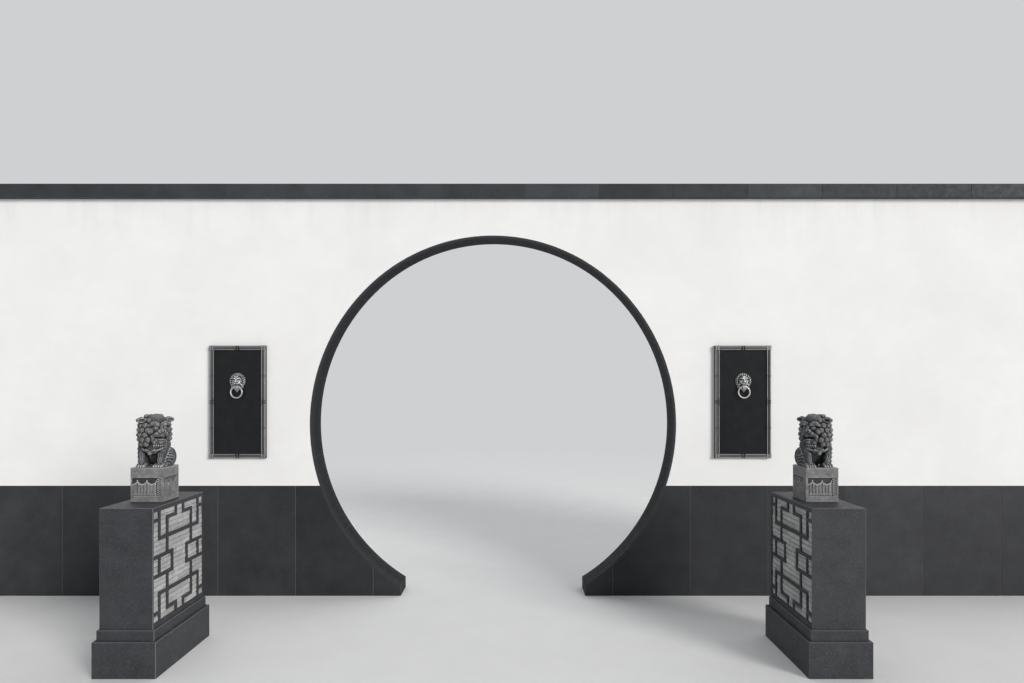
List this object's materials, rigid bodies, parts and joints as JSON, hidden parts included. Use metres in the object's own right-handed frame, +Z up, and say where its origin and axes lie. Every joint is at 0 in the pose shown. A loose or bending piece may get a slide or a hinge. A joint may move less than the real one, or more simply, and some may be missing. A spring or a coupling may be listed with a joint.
{
  "type": "moon gate",
  "caption": "Garden moon gate in a white plastered wall with a dark stone lining, dado and coping, framed lion knockers and guardian lions on pedestals.",
  "frame": {"origin": "on the ground, at the middle of the footprint, on the gate's axis", "axes": "+X along the wall to the right as seen from the front, +Y from the front to the back, +Z up"},
  "size_m": [9.06, 1.794, 3.1698],
  "materials": {
    "plaster": "smooth white lime plaster",
    "dado_stone": "honed dark basalt slabs",
    "ring_stone": "honed dark basalt",
    "coping_stone": "bluish charcoal slabs",
    "lacquer": "glossy black lacquer",
    "pewter": "pewter coloured rods",
    "silver": "polished silver metal",
    "pedestal_stone": "honed dark stone",
    "ribbed_stone": "light grey stone with fine ribs",
    "plinth_stone": "carved grey stone",
    "lion_stone": "carved dark grey stone"
  },
  "bodies": {
    "gate": {"wall_left": "plaster", "wall_right": "plaster", "arch_left_low": "plaster", "arch_right_low": "plaster", "arch_left_high": "plaster", "arch_right_high": "plaster", "arch_left_crown": "plaster", "arch_right_crown": "plaster", "dado_front_left": "dado_stone", "dado_front_right": "dado_stone", "dado_back_left": "dado_stone", "dado_back_right": "dado_stone", "dado_arch_front_left": "dado_stone", "dado_arch_front_right": "dado_stone", "dado_arch_back_left": "dado_stone", "dado_arch_back_right": "dado_stone", "ring_left": "ring_stone", "ring_right": "ring_stone", "ring_crown": "ring_stone", "coping_left": "coping_stone", "coping_centre": "coping_stone", "coping_right": "coping_stone", "panel_board_left": "lacquer", "panel_board_right": "lacquer", "panel_frame_left": "pewter", "panel_frame_right": "pewter", "lion_mask_left": "silver", "lion_mask_right": "silver", "pedestal_base_left": "pedestal_stone", "pedestal_base_right": "pedestal_stone", "pedestal_body_left": "pedestal_stone", "pedestal_body_right": "pedestal_stone", "pedestal_infill_left": "ribbed_stone", "pedestal_infill_right": "ribbed_stone", "pedestal_fretwork_left": "pedestal_stone", "pedestal_fretwork_right": "pedestal_stone", "pedestal_top_left": "pedestal_stone", "pedestal_top_right": "pedestal_stone", "lion_plinth_left": "plinth_stone", "lion_plinth_right": "plinth_stone", "guardian_lion_left": "lion_stone", "guardian_lion_right": "lion_stone"},
    "left_ring": {"knocker_ring_left": "silver"},
    "right_ring": {"knocker_ring_right": "silver"}
  },
  "joints": [
    {"name": "knocker_left", "type": "hinge", "parent": "gate", "child": "left_ring", "pos_m": [-1.961, 0.555, 1.6165], "axis": [-1, 0, 0], "range_deg": [-10, 100]},
    {"name": "knocker_right", "type": "hinge", "parent": "gate", "child": "right_ring", "pos_m": [1.923, 0.555, 1.6165], "axis": [-1, 0, 0], "range_deg": [-10, 100]}
  ]
}
